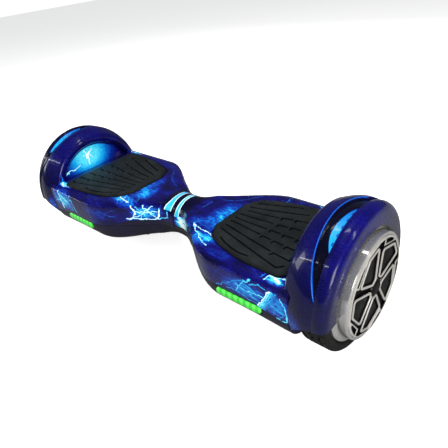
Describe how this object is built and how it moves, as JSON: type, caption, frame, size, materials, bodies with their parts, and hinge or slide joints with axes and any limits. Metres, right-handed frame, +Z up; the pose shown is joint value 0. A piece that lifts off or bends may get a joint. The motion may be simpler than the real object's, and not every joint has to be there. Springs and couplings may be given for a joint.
{
  "type": "self balancing hoverboard",
  "caption": "Self-balancing board: two blue gloss-shelled halves that twist about a narrow neck, each with a rubber foot mat, an arched fender and a hub-motor wheel.",
  "frame": {"origin": "on the ground under the middle of the pivot, bottom centre of the bounding box", "axes": "+X along the wheel axles towards the right half, -Y is the front with the lights, +Z up"},
  "size_m": [0.584, 0.186, 0.1755],
  "materials": {
    "gloss_shell": "high gloss hydro-dipped ABS, deep blue with lightning streaks",
    "under_shell": "satin moulded plastic, near black",
    "mat_rubber": "grooved charcoal rubber",
    "soft_rubber": "soft black rubber",
    "circuit_board": "glass-fibre board with green solder mask",
    "cast_frame": "as-cast aluminium",
    "axle_steel": "turned steel",
    "stator_iron": "laminated electrical steel",
    "copper_wire": "enamelled copper wire",
    "polished_rim": "machined and polished aluminium",
    "magnet_metal": "nickel-plated magnets",
    "wheel_cover": "silver die-cast cover",
    "cover_inserts": "black moulded plastic",
    "bearing_steel": "ground bearing steel",
    "tyre": "solid rubber tyre with wavy tread",
    "light_lens": "translucent green light lens",
    "fastener": "blackened steel",
    "cable_sleeve": "black cable sleeving",
    "bush_brass": "sintered bronze",
    "battery_wrap": "blue shrink wrap",
    "strap_web": "woven strap",
    "button_cap": "red translucent push button",
    "black_plastic": "black moulded plastic",
    "socket_metal": "nickel-plated connector shell",
    "pin_brass": "plated contact pins"
  },
  "bodies": {
    "left_half": {"left_frame": "cast_frame", "left_upper_shell": "gloss_shell", "left_lower_shell": "under_shell", "left_gyro_board": "circuit_board", "left_axle": "axle_steel", "left_stator": "stator_iron", "left_windings": "copper_wire", "left_light_lens": "light_lens", "left_light_board": "circuit_board", "left_axle_clamp": "cast_frame", "left_clamp_bolts": "fastener", "left_shell_screws": "fastener", "left_motor_cable": "cable_sleeve", "pivot_tube": "axle_steel", "retaining_ring": "fastener", "limit_pin": "fastener", "cross_cable": "cable_sleeve", "neck_seal": "soft_rubber", "battery_pack": "battery_wrap", "battery_strap": "strap_web"},
    "right_half": {"right_frame": "cast_frame", "right_upper_shell": "gloss_shell", "right_lower_shell": "under_shell", "right_gyro_board": "circuit_board", "right_axle": "axle_steel", "right_stator": "stator_iron", "right_windings": "copper_wire", "right_light_lens": "light_lens", "right_light_board": "circuit_board", "right_axle_clamp": "cast_frame", "right_clamp_bolts": "fastener", "right_shell_screws": "fastener", "right_motor_cable": "cable_sleeve", "pivot_bushes": "bush_brass", "signal_harness": "cable_sleeve", "main_board": "circuit_board", "heat_sink": "cast_frame", "button_housing": "black_plastic", "charge_socket": "socket_metal", "charge_pins": "pin_brass"},
    "left_wheel": {"left_rotor": "polished_rim", "left_magnets": "magnet_metal", "left_wheel_cover": "wheel_cover", "left_cover_inserts": "cover_inserts", "left_inner_cover": "cast_frame", "left_bearings": "bearing_steel", "left_tyre": "tyre"},
    "right_wheel": {"right_rotor": "polished_rim", "right_magnets": "magnet_metal", "right_wheel_cover": "wheel_cover", "right_cover_inserts": "cover_inserts", "right_inner_cover": "cast_frame", "right_bearings": "bearing_steel", "right_tyre": "tyre"},
    "left_mat": {"left_foot_mat": "mat_rubber", "left_mat_plungers": "soft_rubber"},
    "right_mat": {"right_foot_mat": "mat_rubber", "right_mat_plungers": "soft_rubber"},
    "button": {"power_button": "button_cap"},
    "socket_cap": {"charge_cap": "soft_rubber"}
  },
  "joints": [
    {"name": "centre_twist", "type": "hinge", "parent": "left_half", "child": "right_half", "pos_m": [0, 0, 0.0825], "axis": [1, 0, 0], "range_deg": [-12, 12]},
    {"name": "left_wheel_spin", "type": "hinge", "parent": "left_half", "child": "left_wheel", "pos_m": [-0.257, 0, 0.0825], "axis": [1, 0, 0], "continuous": true},
    {"name": "right_wheel_spin", "type": "hinge", "parent": "right_half", "child": "right_wheel", "pos_m": [0.257, 0, 0.0825], "axis": [1, 0, 0], "continuous": true},
    {"name": "left_mat_press", "type": "slide", "parent": "left_half", "child": "left_mat", "axis": [0, 0, -1], "range_m": [0, 0.0015], "stiffness_N_per_m": 4000, "springref_m": -0.001},
    {"name": "right_mat_press", "type": "slide", "parent": "right_half", "child": "right_mat", "axis": [0, 0, -1], "range_m": [0, 0.0015], "stiffness_N_per_m": 4000, "springref_m": -0.001},
    {"name": "power_button_press", "type": "slide", "parent": "right_half", "child": "button", "axis": [0, -1, 0], "range_m": [0, 0.0015], "stiffness_N_per_m": 800, "springref_m": -0.001},
    {"name": "charge_cap_hinge", "type": "hinge", "parent": "right_half", "child": "socket_cap", "pos_m": [0.201, 0.088, 0.0686], "axis": [1, 0, 0], "range_deg": [0, 130]}
  ]
}
